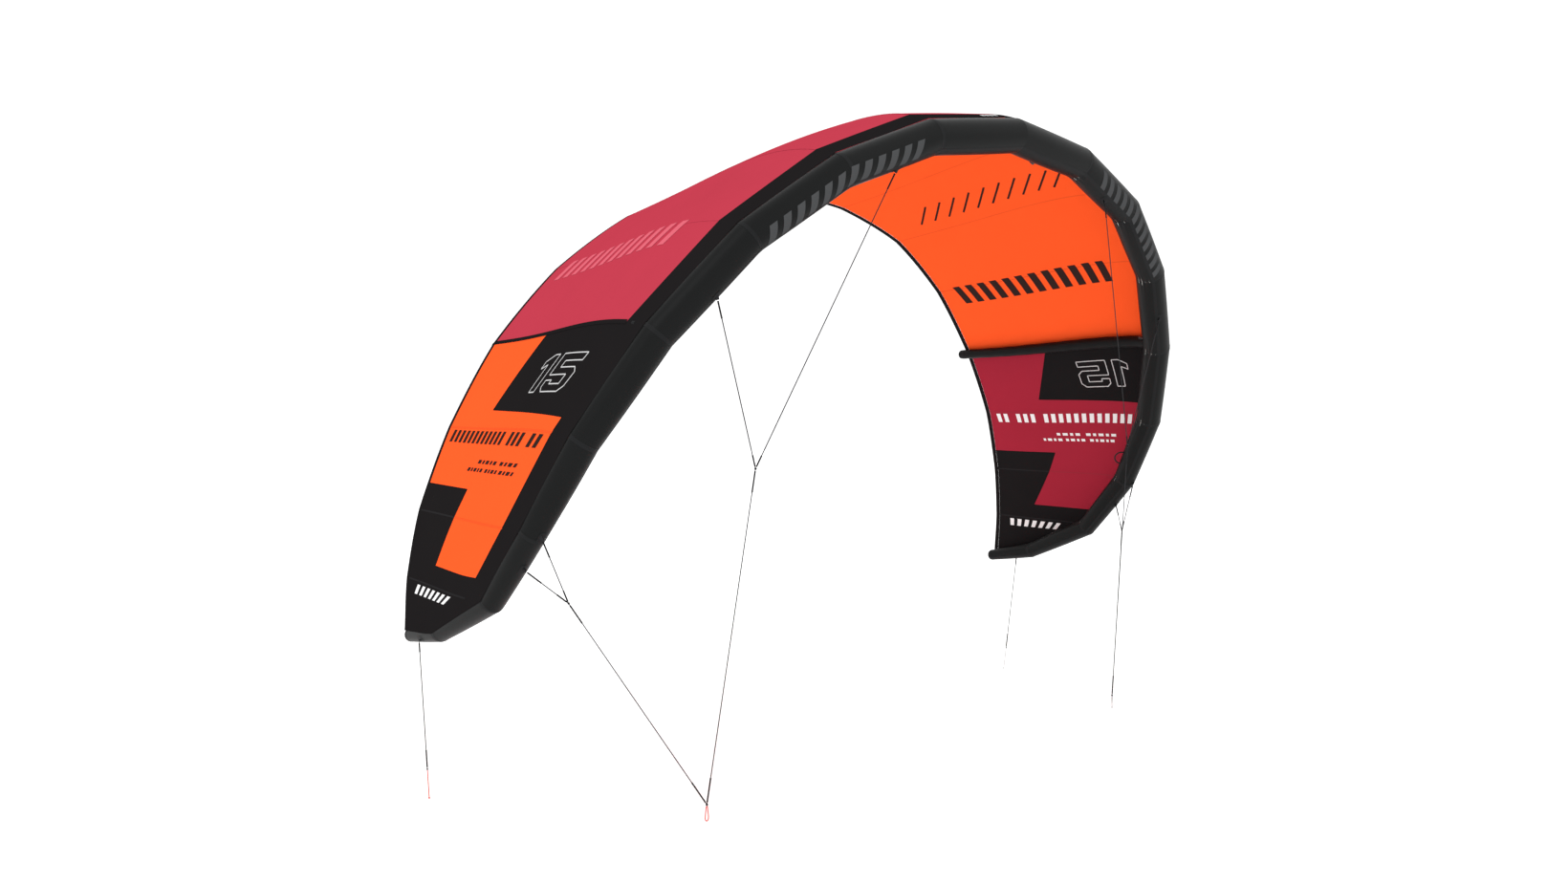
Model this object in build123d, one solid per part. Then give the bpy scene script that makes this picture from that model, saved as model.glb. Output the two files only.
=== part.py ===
from build123d import *
import math
import os

# Inflatable kitesurf kite, 15 square metres, flying attitude, lines pulled tight.
# Millimetres. +X to the kite's right tip (the plane X=0 is the mirror plane), +Y from the
# leading edge back to the trailing edge, +Z up. The origin is the centre of the
# leading-edge tube on the mirror plane.
# Every function builds the +X half; the -X half is its mirror image.

# ---------------------------------------------------------------- leading edge
# One entry per sewn tube panel from the centre outwards, the last one being the wingtip panel.
PANEL_LENGTHS = (665, 645, 645, 675, 645, 565, 535, 605, 400)
PANEL_DROPS = (7, 21, 35.5, 50, 62, 75.5, 85.5, 87, 101)    # degrees below level, seen from ahead
PANEL_SWEEPS = (3, 6.5, 13, 18, 22, 30.5, 42.5, 66.5, 79)   # degrees back from straight sideways
TUBE_RADII = (100, 99, 97, 95, 92, 87, 78, 69, 58, 42)      # at the panel joints
END_DOME = 34                                               # rounded end of the tube
DOME_TILTS = (25, 48, 66, 80)                               # degrees of its rings
CASING_WALL = 1.5
BLADDER_GAP = 0.4
BLADDER_WALL = 1.0

# --------------------------------------------------------------------- canopy
# One entry per tube joint: the chord, its nose-up angle and the sideways lean of its rear end.
CHORDS = (2095, 2060, 1995, 1885, 1720, 1505, 1265, 935, 405)
CHORD_PITCHES = (-3, -2.6, -2, -2, -1.7, -1.5, 0, 2, 4)
CHORD_LEANS = (0, 0, 0, 0, -20, -45, -25, -25, 45)
FRONT_CAMBERS = (0.40, 0.40, 0.34, 0.30, 0.30, 0.30, 0.30, 0.30, 0.30)  # fullness behind the tube
REAR_CAMBERS = (0.06, 0.08, 0.08, 0.03, 0, 0, 0, 0, 0)   # even fullness over the whole chord
CLOTH = 2.0
SEWN_GAP = 0.3
BAND_WIDTH = 130       # black cloth along the tube
HEM_WIDTH = 36
HEM_EXTRA = 1.0
PROFILE_STEPS = 6
STRUT_JOINT = 4
TIP_JOINT = 7
LAST_JOINT = 8

# --------------------------------------------------------------------- struts
STRUT_FRONT_RADIUS = 43
STRUT_REAR_RADIUS = 34
STRUT_START = 0.02     # fraction of the chord, inside the leading-edge tube
STRUT_STEPS = 5
STRUT_OVERHANG = 16    # past the trailing edge, before the rounded end
STRUT_GAP = 5          # under the cloth

# --------------------------------------------------------------------- bridle
# Each front line leaves the tube at (place along the joints, degrees round the tube from aft).
TAB_PLACES = ((1.5, 247), (3.5, 219), (5.95, 184), (6.37, 185))
INNER_FORK = Vector(1655, 335, -1850)
OUTER_FORK = Vector(2430, 900, -2535)
BRIDLE_POINT = Vector(1815, 545, -3625)
REAR_TAB_PLACE = (8.48, 117)
REAR_DIRECTION = Vector(-80, 61, -942)
REAR_LEADER = 765
REAR_PIGTAIL = 175
LINE_RADIUS = 2.75
SLEEVE_RADIUS = 4.4
SLEEVE_BORE = 2.95
KNOT_RADIUS = 7.0
SMALL_KNOT_RADIUS = 5.5
KNOT_GAP = 0.8
KNOT_GRIP = 1.0
SLEEVE_START = 14
TAB_LENGTH = 26
TAB_WIDTH = 16
TAB_THICKNESS = 4
TAB_SINK = 8
UPPER_SLEEVES = (90, 60)       # at the tube, at the fork
LOWER_SLEEVES = (110, 130)     # at the fork, at the bridle point
REAR_SLEEVES = (50, 100)       # at the tip, at the pigtail
LOOP_HALF_WIDTH = 10
LOOP_DEPTH = 88
LOOP_NECK = 3.3                # half the distance between the strands at the knot
LOOP_START = 1.5               # below the knot
LOOP_BENDS = (60, 9.5, 9.5, 60)

# --------------------------------------------------------------------- valves
VALVE_PLACE = 0.5              # middle of the first tube panel
VALVE_ANGLE = 332              # degrees round the tube from aft, behind and a little below
VALVE_PAD = 3.0
VALVE_SIZES = {"inflate_valve": (11, 16, 22), "deflate_valve": (19, 25, 18)}   # bore, neck, height
CAP_THICKNESS = 5
CAP_PLUG = 4
CAP_GAP = 0.4
HINGE_RADIUS = 2.8
HINGE_OFFSET = 6
HINGE_PIN = 1.0
HINGE_PLAY = 0.15
EAR_WIDTH = 3
BARREL_WIDTH = 7
EAR_GAP = 0.3
EAR_OVERLAP = 2                # of the ears into the neck
EAR_LOW, EAR_HIGH = 6, 1       # below the neck's rim
VALVE_BORE_DEPTH = 30          # of the hole through the pad and the tube wall

# ---------------------------------------------------------- hoses and handles
HOSE_RADIUS = 7
CLIP_RADIUS = 10
CLIP_WIDTH = 12
HOSE_PLACE = 3.84
HOSE_ANGLE = 318
HOSE_STRUT_PLACE = 0.085
HOSE_BULGE = 30
HANDLE_PLACES = (5.58, 5.76)
HANDLE_ANGLE = 322
HANDLE_BULGE = 50
HANDLE_RADIUS = 5
SINK = 6               # start depth of what is fixed to a tube, before it is trimmed
GRIP = 1.0             # what stays in the tube wall after trimming
HOSE_PLAY = 1.2        # between the hose and its clip

AFT = Vector(0, 1, 0)


# ------------------------------------------------------------------ positions
def polar(angle):
    return math.cos(math.radians(angle)), math.sin(math.radians(angle))


def blend(start, end, share):
    return start + (end - start) * share


def panel_direction(panel):
    across, down = polar(PANEL_DROPS[panel])
    level, back = polar(PANEL_SWEEPS[panel])
    return Vector(level * across, back, -level * down)


def tube_joints():
    joints = [Vector(0, 0, 0)]
    for panel, length in enumerate(PANEL_LENGTHS):
        joints.append(joints[-1] + panel_direction(panel) * length)
    return joints


JOINTS = tube_joints()


def joint_drop(joint):
    if joint == 0:
        return 0
    outer = min(joint, LAST_JOINT)
    return (PANEL_DROPS[joint - 1] + PANEL_DROPS[outer]) / 2


def outward(joint):
    across, down = polar(joint_drop(joint))
    return Vector(down, 0, across)


def joint_tangent(joint):
    if joint == 0:
        return Vector(1, 0, 0)
    outer = min(joint, LAST_JOINT)
    return (panel_direction(joint - 1) + panel_direction(outer)).normalized()


def chord_vector(joint):
    along, up = polar(CHORD_PITCHES[joint])
    across, down = polar(joint_drop(joint))
    lean = Vector(across, 0, -down) * CHORD_LEANS[joint]
    return (AFT * along + outward(joint) * up) * CHORDS[joint] + lean


def canopy_height(joint, share):
    start = TUBE_RADII[joint] + CLOTH + SEWN_GAP
    fullness = FRONT_CAMBERS[joint] * (1 - share) ** 2 + REAR_CAMBERS[joint]
    return start * (1 - share) + CHORDS[joint] * fullness * share * (1 - share)


def canopy_point(joint, share, lift=0.0):
    height = canopy_height(joint, share) + lift
    return JOINTS[joint] + chord_vector(joint) * share + outward(joint) * height


def tube_place(place):
    joint = min(int(place), LAST_JOINT)
    share = place - joint
    centre = blend(JOINTS[joint], JOINTS[joint + 1], share)
    radius = blend(TUBE_RADII[joint], TUBE_RADII[joint + 1], share)
    return centre, radius, panel_direction(joint)


def tube_radial(place, angle):
    direction = tube_place(place)[2]
    back = (AFT - direction * AFT.dot(direction)).normalized()
    out = back.cross(direction) * -1
    if out.dot(outward(min(int(place), LAST_JOINT))) < 0:
        out = out * -1
    along, up = polar(angle)
    return back * along + out * up


def tube_surface(place, angle, lift=0.0):
    centre, radius, _ = tube_place(place)
    return centre + tube_radial(place, angle) * (radius + lift)


# --------------------------------------------------------------- basic shapes
def ring_wire(centre, direction, x_direction, radius):
    flat = (x_direction - direction * x_direction.dot(direction)).normalized()
    plane = Plane(origin=centre, x_dir=flat, z_dir=direction)
    return Wire.make_circle(radius, plane)


def tube_loft(offset, joints=range(10), dome=True):
    """Ruled tube through the joints, its radii changed by offset."""
    wires = []
    for joint in joints:
        radius = TUBE_RADII[joint] + offset
        wires.append(ring_wire(JOINTS[joint], joint_tangent(joint), outward(joint), radius))
    if dome:
        wires += dome_wires(JOINTS[9], joint_tangent(9), outward(9), TUBE_RADII[9] + offset, END_DOME + offset)
    return Solid.make_loft(wires, ruled=True)


def dome_wires(centre, direction, x_direction, radius, depth):
    wires = []
    for angle in DOME_TILTS:
        shrink, forward = polar(angle)
        middle = centre + direction * (depth * forward)
        wires.append(ring_wire(middle, direction, x_direction, radius * shrink))
    return wires


def rod(start, end, radius, bore=0.0):
    path = end - start
    plane = Plane(origin=start, z_dir=path.normalized())
    solid = Solid.make_cylinder(radius, path.length, plane)
    if bore:
        solid = solid - Solid.make_cylinder(bore, path.length, plane)
    return solid


def ball(centre, radius):
    return Solid.make_sphere(radius).moved(Location(centre))


def arc_tube(start, middle, end, radius):
    path = ThreePointArc(start, middle, end)
    plane = Plane(origin=path @ 0, z_dir=path % 0)
    return sweep(plane * Circle(radius), path=path).solid()


def trimmed(shape):
    """Cut away what lies deeper than GRIP inside the leading-edge tube."""
    return shape - tube_loft(-GRIP)


# ---------------------------------------------------------------------- tubes
def valve_cutters():
    cutters = []
    for bore, _, _ in VALVE_SIZES.values():
        inside = tube_surface(VALVE_PLACE, VALVE_ANGLE, -VALVE_BORE_DEPTH)
        outside = tube_surface(VALVE_PLACE, VALVE_ANGLE, VALVE_BORE_DEPTH)
        cutters.append(rod(inside, outside, bore))
    return cutters


def casing_panel(first):
    """One straight sewn panel of the casing, from its first joint to the next."""
    joints = range(first, first + 2)
    dome = first == LAST_JOINT
    return tube_loft(0, joints, dome) - tube_loft(-CASING_WALL, joints, dome)


def leading_edge_casing(valve):
    panels = [casing_panel(first) for first in range(LAST_JOINT + 1)]
    panels[0] = panels[0] - valve
    return Compound([panel.solid() for panel in panels])


def leading_edge_bladder(valve):
    outer = tube_loft(-CASING_WALL - BLADDER_GAP)
    inner = tube_loft(-CASING_WALL - BLADDER_GAP - BLADDER_WALL)
    return outer - inner - valve


def strut_loft(offset):
    wires = []
    direction = chord_vector(STRUT_JOINT).normalized()
    out = outward(STRUT_JOINT)
    for step in range(STRUT_STEPS + 1):
        share = blend(STRUT_START, 1.0, step / STRUT_STEPS)
        wires.append(ring_wire(strut_centre(share), direction, out, strut_radius(share) + offset))
    end = strut_centre(1.0) + direction * STRUT_OVERHANG
    wires.append(ring_wire(end, direction, out, STRUT_REAR_RADIUS + offset))
    wires += dome_wires(end, direction, out, STRUT_REAR_RADIUS + offset, STRUT_REAR_RADIUS * 0.7 + offset)
    return Solid.make_loft(wires, ruled=True)


def strut_radius(share):
    return blend(STRUT_FRONT_RADIUS, STRUT_REAR_RADIUS, share)


def strut_centre(share):
    return canopy_point(STRUT_JOINT, share, -CLOTH - STRUT_GAP - strut_radius(share))


def strut_casing():
    return strut_loft(0) - strut_loft(-CASING_WALL) - tube_loft(SEWN_GAP, range(2, 7), dome=False)


def strut_bladder():
    outer = strut_loft(-CASING_WALL - BLADDER_GAP)
    inner = strut_loft(-CASING_WALL - BLADDER_GAP - BLADDER_WALL)
    return outer - inner - tube_loft(4, range(2, 7), dome=False)


# --------------------------------------------------------------------- canopy
def band_share(joint):
    return BAND_WIDTH / CHORDS[joint]


def hem_share(joint):
    return 1 - HEM_WIDTH / CHORDS[joint]


def profile_wire(joint, front, rear, lift):
    shares = [blend(front, rear, step / PROFILE_STEPS) for step in range(PROFILE_STEPS + 1)]
    top = [canopy_point(joint, share, lift) for share in shares]
    bottom = [canopy_point(joint, share, -CLOTH) for share in shares]
    return Wire([
        Edge.make_spline(top),
        Edge.make_line(top[-1], bottom[-1]),
        Edge.make_spline(bottom[::-1]),
        Edge.make_line(bottom[0], top[0]),
    ])


def cloth_strips(first, last, front, rear, lift=0.0):
    """Cloth between two joints, one solid per strip; front and rear give the chord shares."""
    strips = []
    for joint in range(first, last):
        near = profile_wire(joint, front(joint), rear(joint), lift)
        far = profile_wire(joint + 1, front(joint + 1), rear(joint + 1), lift)
        strips.append(Solid.make_loft([near, far], ruled=True))
    return Compound(strips)


# --------------------------------------------------------------------- bridle
def tab(place, angle, target):
    """Webbing tab from inside the tube wall towards target, and the point where its line starts."""
    root = tube_surface(place, angle)
    direction = (target - root).normalized()
    side = tube_place(place)[2]
    plane = Plane(origin=root - direction * TAB_SINK, x_dir=across(side, direction), z_dir=direction)
    length = TAB_LENGTH + TAB_SINK
    webbing = plane * Box(TAB_WIDTH, TAB_THICKNESS, length, align=(Align.CENTER, Align.CENTER, Align.MIN))
    return trimmed(webbing.solid()).solid(), root + direction * TAB_LENGTH


def across(side, direction):
    return (side - direction * side.dot(direction)).normalized()


def line_fork(line):
    return INNER_FORK if line < 2 else OUTER_FORK


def upper_line(line):
    place, angle = TAB_PLACES[line]
    fork = line_fork(line)
    start = tab(place, angle, fork)[1]
    direction = (fork - start).normalized()
    end = fork - direction * (KNOT_RADIUS + KNOT_GAP)
    return start, end, direction


def upper_line_solid(line):
    start, end, _ = upper_line(line)
    return rod(start, end, LINE_RADIUS)


def sleeve(start, direction, length):
    return rod(start, start + direction * length, SLEEVE_RADIUS, SLEEVE_BORE)


def upper_sleeves():
    pieces = []
    for line in range(4):
        start, _, direction = upper_line(line)
        fork = line_fork(line)
        pieces.append(sleeve(start, direction, UPPER_SLEEVES[0]))
        pieces.append(sleeve(fork - direction * SLEEVE_START, direction * -1, UPPER_SLEEVES[1]))
    return Compound(pieces)


def lower_line(fork):
    direction = (BRIDLE_POINT - fork).normalized()
    inset = KNOT_RADIUS - KNOT_GRIP
    return rod(fork + direction * inset, BRIDLE_POINT - direction * inset, LINE_RADIUS)


def lower_sleeves():
    pieces = []
    for fork in (INNER_FORK, OUTER_FORK):
        direction = (BRIDLE_POINT - fork).normalized()
        pieces.append(sleeve(fork + direction * SLEEVE_START, direction, LOWER_SLEEVES[0]))
        pieces.append(sleeve(BRIDLE_POINT - direction * SLEEVE_START, direction * -1, LOWER_SLEEVES[1]))
    return Compound(pieces)


def bridle_knots():
    return Compound([ball(point, KNOT_RADIUS) for point in (INNER_FORK, OUTER_FORK, BRIDLE_POINT)])


def loop_points():
    """The pigtail loop: down one strand, round the bottom and back up, seen from ahead."""
    half = LOOP_HALF_WIDTH
    top = KNOT_RADIUS + LOOP_START
    outline = ((-LOOP_NECK, top), (-half, LOOP_DEPTH * 0.55), (-half, LOOP_DEPTH),
               (half, LOOP_DEPTH), (half, LOOP_DEPTH * 0.55), (LOOP_NECK, top))
    return [BRIDLE_POINT + Vector(side, 0, -down) for side, down in outline]


def front_pigtail():
    path = FilletPolyline(*loop_points(), radius=list(LOOP_BENDS))
    plane = Plane(origin=path @ 0, z_dir=path % 0)
    return sweep(plane * Circle(LINE_RADIUS), path=path).solid()


def rear_points():
    direction = REAR_DIRECTION.normalized()
    top = tube_surface(*REAR_TAB_PLACE, TAB_LENGTH / 2)
    joint = top + direction * REAR_LEADER
    return top, joint, joint + direction * REAR_PIGTAIL, direction


def rear_leader():
    top, joint, _, direction = rear_points()
    start = top + direction * (SMALL_KNOT_RADIUS + KNOT_GAP)
    return rod(start, joint - direction * (SMALL_KNOT_RADIUS - KNOT_GRIP), LINE_RADIUS)


def rear_leader_fittings():
    top, joint, _, direction = rear_points()
    upper = sleeve(top + direction * SLEEVE_START, direction, REAR_SLEEVES[0])
    lower = sleeve(joint - direction * SLEEVE_START, direction * -1, REAR_SLEEVES[1])
    return Compound([upper, lower, ball(joint, SMALL_KNOT_RADIUS)])


def rear_pigtail():
    _, joint, end, direction = rear_points()
    start = joint + direction * (SMALL_KNOT_RADIUS + KNOT_GAP)
    return rod(start, end - direction * (SMALL_KNOT_RADIUS - KNOT_GRIP), LINE_RADIUS)


def rear_stopper_knot():
    return ball(rear_points()[2], SMALL_KNOT_RADIUS)


def bridle_tabs():
    """Four front tabs and the wingtip tab, which ends in a round eye."""
    pieces = [tab(place, angle, line_fork(line))[0] for line, (place, angle) in enumerate(TAB_PLACES)]
    top = rear_points()[0]
    root = tube_surface(*REAR_TAB_PLACE, -TAB_SINK)
    stem = trimmed(rod(root, top, SMALL_KNOT_RADIUS * 0.7))
    pieces.append((stem + ball(top, SMALL_KNOT_RADIUS)).solid())
    return Compound(pieces)


# --------------------------------------------------------------------- valves
def valve_plane(lift):
    out = tube_radial(VALVE_PLACE, VALVE_ANGLE)
    side = panel_direction(0)
    return Plane(origin=tube_surface(VALVE_PLACE, VALVE_ANGLE, lift), x_dir=across(side, out), z_dir=out)


def disc(plane, radius, low, high):
    return Solid.make_cylinder(radius, high - low, plane.offset(low))


def hinge_bar(plane, neck, height, width, centre, radius):
    """Round bar along the hinge axis beside the valve neck."""
    middle = plane.from_local_coords(Vector(neck + HINGE_OFFSET, centre - width / 2, height))
    return Solid.make_cylinder(radius, width, Plane(origin=middle, x_dir=plane.x_dir, z_dir=plane.y_dir))


def local_box(plane, low, high):
    size = high - low
    middle = plane.from_local_coords((low + high) * 0.5)
    return (Plane(origin=middle, x_dir=plane.x_dir, z_dir=plane.z_dir) * Box(*size)).solid()


def valve_body(bore, neck, height):
    plane = valve_plane(0)
    hinge = height + CAP_GAP + CAP_THICKNESS / 2
    pad_shell = tube_loft(VALVE_PAD, range(2), dome=False) - tube_loft(SEWN_GAP, range(2), dome=False)
    pad = pad_shell & disc(plane, neck * 2, -VALVE_BORE_DEPTH, VALVE_BORE_DEPTH)
    body = pad + disc(plane, neck, VALVE_PAD / 2, height)
    ear_centre = BARREL_WIDTH / 2 + EAR_GAP + EAR_WIDTH / 2
    for side in (-1, 1):
        centre = side * ear_centre
        low = Vector(neck - EAR_OVERLAP, centre - EAR_WIDTH / 2, height - EAR_LOW)
        high = Vector(neck + HINGE_OFFSET, centre + EAR_WIDTH / 2, height - EAR_HIGH)
        body += local_box(plane, low, high)
        low = Vector(neck + HINGE_OFFSET - HINGE_RADIUS, centre - EAR_WIDTH / 2, height - EAR_LOW)
        high = Vector(neck + HINGE_OFFSET + HINGE_RADIUS, centre + EAR_WIDTH / 2, hinge)
        body += local_box(plane, low, high)
        body += hinge_bar(plane, neck, hinge, EAR_WIDTH, centre, HINGE_RADIUS)
    body += hinge_bar(plane, neck, hinge, 2 * ear_centre, 0, HINGE_PIN)
    return (body - disc(plane, bore, -VALVE_BORE_DEPTH, height + 1)).solid()


def valve_cap(bore, neck, height):
    plane = valve_plane(0)
    low = height + CAP_GAP
    hinge = low + CAP_THICKNESS / 2
    cap = disc(plane, neck, low, low + CAP_THICKNESS) + disc(plane, bore - 2, low - CAP_PLUG, low)
    arm_low = Vector(0, -BARREL_WIDTH / 2, low)
    arm_high = Vector(neck + HINGE_OFFSET, BARREL_WIDTH / 2, low + CAP_THICKNESS)
    cap += local_box(plane, arm_low, arm_high)
    cap += hinge_bar(plane, neck, hinge, BARREL_WIDTH, 0, HINGE_RADIUS)
    return (cap - hinge_bar(plane, neck, hinge, BARREL_WIDTH + 2, 0, HINGE_PIN + HINGE_PLAY)).solid()


# ---------------------------------------------------------- hoses and handles
def hose_points():
    """From the leading-edge tube to the side of the strut that faces the centre."""
    start = tube_surface(HOSE_PLACE, HOSE_ANGLE, -SINK)
    inward = joint_tangent(STRUT_JOINT) * -1
    side = (inward - outward(STRUT_JOINT) * 0.5).normalized()
    radius = strut_radius(HOSE_STRUT_PLACE)
    end = strut_centre(HOSE_STRUT_PLACE) + side * (radius - SINK)
    bulge = tube_radial(HOSE_PLACE, HOSE_ANGLE) + inward
    return start, (start + end) * 0.5 + bulge.normalized() * HOSE_BULGE, end


def one_pump_hose():
    hose = arc_tube(*hose_points(), HOSE_RADIUS)
    return (trimmed(hose) - strut_loft(-GRIP)).solid()


def hose_clip():
    path = ThreePointArc(*hose_points())
    direction = path % 0.5
    middle = path @ 0.5
    half = direction * (CLIP_WIDTH / 2)
    return rod(middle - half, middle + half, CLIP_RADIUS, HOSE_RADIUS + HOSE_PLAY)


def side_handle():
    start = tube_surface(HANDLE_PLACES[0], HANDLE_ANGLE, -SINK)
    end = tube_surface(HANDLE_PLACES[1], HANDLE_ANGLE, -SINK)
    middle = tube_surface(sum(HANDLE_PLACES) / 2, HANDLE_ANGLE, HANDLE_BULGE)
    return trimmed(arc_tube(start, middle, end, HANDLE_RADIUS)).solid()


# --------------------------------------------------------------------- output
def save(name, shape):
    shape.label = name
    export_step(shape, f"parts/{name}.step")


def save_pair(name, shape):
    save(f"{name}_right", shape)
    save(f"{name}_left", mirror(shape, about=Plane.YZ))


def main():
    os.makedirs("parts", exist_ok=True)
    inflate_hole, deflate_hole = valve_cutters()

    # The big valve is on the right half, the small one on the left half.
    save("leading_edge_casing_right", leading_edge_casing(deflate_hole))
    save("leading_edge_casing_left", mirror(leading_edge_casing(inflate_hole), about=Plane.YZ))
    bladder_halves = [leading_edge_bladder(deflate_hole).solid(),
                      mirror(leading_edge_bladder(inflate_hole), about=Plane.YZ).solid()]
    save("leading_edge_bladder", Compound(bladder_halves))
    save_pair("strut_casing", strut_casing())
    save_pair("strut_bladder", strut_bladder())

    save_pair("seam_band", cloth_strips(0, LAST_JOINT, lambda joint: 0.0, band_share))
    save_pair("canopy_centre", cloth_strips(0, STRUT_JOINT, band_share, hem_share))
    save_pair("canopy_tip", cloth_strips(STRUT_JOINT, TIP_JOINT, band_share, hem_share))
    save_pair("canopy_wingtip", cloth_strips(TIP_JOINT, LAST_JOINT, band_share, hem_share))
    save_pair("trailing_edge_hem", cloth_strips(0, LAST_JOINT, hem_share, lambda joint: 1.0, HEM_EXTRA))

    save_pair("bridle_tabs", bridle_tabs())
    for line in range(4):
        save_pair(f"upper_line_{line + 1}", upper_line_solid(line))
    save_pair("upper_sleeves", upper_sleeves())
    save_pair("lower_line_inner", lower_line(INNER_FORK))
    save_pair("lower_line_outer", lower_line(OUTER_FORK))
    save_pair("lower_sleeves", lower_sleeves())
    save_pair("bridle_knots", bridle_knots())
    save_pair("front_pigtail", front_pigtail())
    save_pair("rear_leader", rear_leader())
    save_pair("rear_leader_fittings", rear_leader_fittings())
    save_pair("rear_pigtail", rear_pigtail())
    save_pair("rear_stopper_knot", rear_stopper_knot())

    save("deflate_valve", valve_body(*VALVE_SIZES["deflate_valve"]))
    save("deflate_valve_cap", valve_cap(*VALVE_SIZES["deflate_valve"]))
    save("inflate_valve", mirror(valve_body(*VALVE_SIZES["inflate_valve"]), about=Plane.YZ))
    save("inflate_valve_cap", mirror(valve_cap(*VALVE_SIZES["inflate_valve"]), about=Plane.YZ))

    save_pair("one_pump_hose", one_pump_hose())
    save_pair("hose_clip", hose_clip())
    save_pair("side_handle", side_handle())

    print("pigtail loop bottom radius", LOOP_HALF_WIDTH - 0.5, "mm, line diameter", 2 * LINE_RADIUS)
    for line in range(4):
        start, end, _ = upper_line(line)
        print(f"upper line {line + 1}: {(end - start).length:.0f} mm")
    for name, fork in (("inner", INNER_FORK), ("outer", OUTER_FORK)):
        print(f"lower line {name}: {(BRIDLE_POINT - fork).length - 2 * (KNOT_RADIUS - KNOT_GRIP):.0f} mm")


main()
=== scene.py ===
import math

import bmesh
import bpy
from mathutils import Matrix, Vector


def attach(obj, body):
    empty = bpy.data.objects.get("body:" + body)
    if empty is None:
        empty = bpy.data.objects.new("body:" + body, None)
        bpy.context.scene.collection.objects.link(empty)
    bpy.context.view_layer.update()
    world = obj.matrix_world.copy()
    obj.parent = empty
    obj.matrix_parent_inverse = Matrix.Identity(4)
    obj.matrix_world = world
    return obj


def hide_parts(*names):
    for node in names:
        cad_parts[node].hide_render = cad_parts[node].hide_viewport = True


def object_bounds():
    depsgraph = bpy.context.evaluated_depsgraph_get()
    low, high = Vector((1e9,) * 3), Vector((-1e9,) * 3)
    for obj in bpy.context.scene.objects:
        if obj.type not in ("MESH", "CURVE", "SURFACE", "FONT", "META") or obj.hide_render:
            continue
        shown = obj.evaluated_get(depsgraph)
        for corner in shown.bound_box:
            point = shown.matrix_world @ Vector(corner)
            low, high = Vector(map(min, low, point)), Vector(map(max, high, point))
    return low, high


# Inflatable kitesurf kite: the looks. Metres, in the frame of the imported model: +X to the right
# tip, +Y from the leading edge back, +Z up, origin at the centre of the leading-edge tube.
# Spots on the cloth are given as (place, share): place counts the tube's joints from the centre
# (0) to the tip (8), and share goes along the chord from the tube (0) to the trailing edge (1).
# A row goes the same way, but from the black band (0) to the hem (1). Angles are in degrees, and
# those round the tube start at its back and go over its top.

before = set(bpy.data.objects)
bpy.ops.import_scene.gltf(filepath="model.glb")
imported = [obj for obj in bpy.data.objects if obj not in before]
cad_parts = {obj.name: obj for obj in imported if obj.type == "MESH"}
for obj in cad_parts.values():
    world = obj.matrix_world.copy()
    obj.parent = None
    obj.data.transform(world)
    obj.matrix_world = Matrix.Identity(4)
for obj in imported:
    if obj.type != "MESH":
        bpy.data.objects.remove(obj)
CAD_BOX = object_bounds()

# ---- the sail's cutting list
PANEL_LENGTHS = (0.665, 0.645, 0.645, 0.675, 0.645, 0.565, 0.535, 0.605, 0.400)
PANEL_DROPS = (7, 21, 35.5, 50, 62, 75.5, 85.5, 87, 101)
PANEL_SWEEPS = (3, 6.5, 13, 18, 22, 30.5, 42.5, 66.5, 79)
TUBE_RADII = (0.100, 0.099, 0.097, 0.095, 0.092, 0.087, 0.078, 0.069, 0.058, 0.042)
CHORDS = (2.095, 2.060, 1.995, 1.885, 1.720, 1.505, 1.265, 0.935, 0.405)
CHORD_PITCHES = (-3, -2.6, -2, -2, -1.7, -1.5, 0, 2, 4)
CHORD_LEANS = (0, 0, 0, 0, -0.020, -0.045, -0.025, -0.025, 0.045)
FRONT_CAMBERS = (0.40, 0.40, 0.34) + (0.30,) * 6
REAR_CAMBERS = (0.06, 0.08, 0.08, 0.03) + (0,) * 5
CLOTH = 0.0020
SEWN_GAP = 0.0003
BAND_WIDTH = 0.130
HEM_WIDTH = 0.036
END_DOME = 0.034
STRUT_JOINT = 4
LAST_JOINT = 8
STRUT_RADII = (0.043, 0.034)
STRUT_START = 0.02
STRUT_OVERHANG = 0.016
STRUT_GAP = 0.005
MEAN_PANEL = 0.62

# The outline of each tip panel's colour block, as (place, row).
TIP_BLOCK = ((4.0, 1.0), (4.0, 0.55), (4.80, 0.645), (4.86, 0.0),
             (6.70, 0.0), (6.70, 0.615), (5.67, 0.53), (5.67, 1.0))
WINGTIP_PLACE = 6.70
FRONT_BLACK_END = (4.9, 0.68)

# ---- bridle
TAB_PLACES = ((1.5, 247), (3.5, 219), (5.95, 184), (6.37, 185))
TAB_LENGTH = 0.026
TAB_HALF_WIDTH = 0.008
INNER_FORK = Vector((1.655, 0.335, -1.850))
OUTER_FORK = Vector((2.430, 0.900, -2.535))
BRIDLE_POINT = Vector((1.815, 0.545, -3.625))
REAR_TAB_PLACE = (8.48, 117)
REAR_DIRECTION = Vector((-0.080, 0.061, -0.942)).normalized()
REAR_LEADER = 0.765
REAR_PIGTAIL = 0.175
LINE_DIAMETER = 0.0055
SLEEVE_RADIUS = 0.0044
KNOT_RADIUS = 0.007
SMALL_KNOT_RADIUS = 0.0055
KNOT_GAP = 0.0008
KNOT_GRIP = 0.001
SLEEVE_START = 0.014
UPPER_SLEEVES = (0.090, 0.060)
LOWER_SLEEVES = (0.110, 0.130)
REAR_SLEEVES = (0.050, 0.100)
LOOP_HALF_WIDTH = 0.010
LOOP_DEPTH = 0.088
LOOP_NECK = 0.0033
LINE_RUNS = 4

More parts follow.
